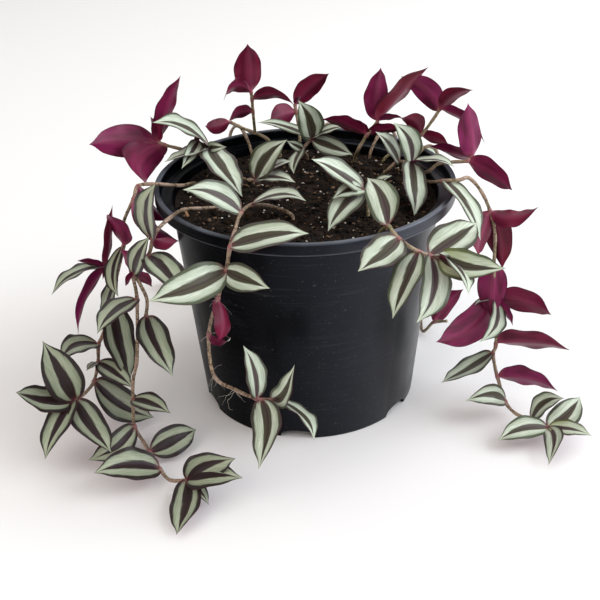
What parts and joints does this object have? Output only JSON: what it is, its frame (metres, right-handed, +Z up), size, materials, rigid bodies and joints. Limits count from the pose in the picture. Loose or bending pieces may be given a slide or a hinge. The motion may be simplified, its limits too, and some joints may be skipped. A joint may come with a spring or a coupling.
{
  "type": "potted tradescantia",
  "caption": "House plant in a round tapered nursery pot: striped leaves with purple undersides on jointed stems that stand over the rim and trail down to the floor.",
  "frame": {"origin": "centre of the pot's flat underside", "axes": "+Z up along the pot's axis, -Y toward the front, +X to the right seen from the front"},
  "size_m": [0.366, 0.3564, 0.2301],
  "materials": {
    "pot": "satin black moulded polypropylene, dusty and lightly scuffed",
    "soil": "loose dark brown peat with white perlite grains",
    "leaf": "soft satin leaf, silver-green stripes on a dark green and purple ground",
    "leaf_underside": "soft satin leaf seen from its crimson-purple underside"
  },
  "bodies": {
    "root": {"pot": "pot", "soil": "soil", "front_trail": "leaf", "left_trail": "leaf", "left_outer": "leaf", "purple_left": "leaf_underside", "top_left": "leaf", "centre_left": "leaf", "back_left": "leaf_underside", "back_centre": "leaf_underside", "centre_back": "leaf", "centre_right": "leaf", "front_right": "leaf", "right_trail": "leaf", "right_inner": "leaf", "tall_back_right": "leaf_underside", "top_right": "leaf_underside", "right_edge": "leaf_underside", "back_trail_left": "leaf", "back_trail_middle": "leaf", "back_trail_right": "leaf", "low_right": "leaf_underside"}
  },
  "joints": []
}
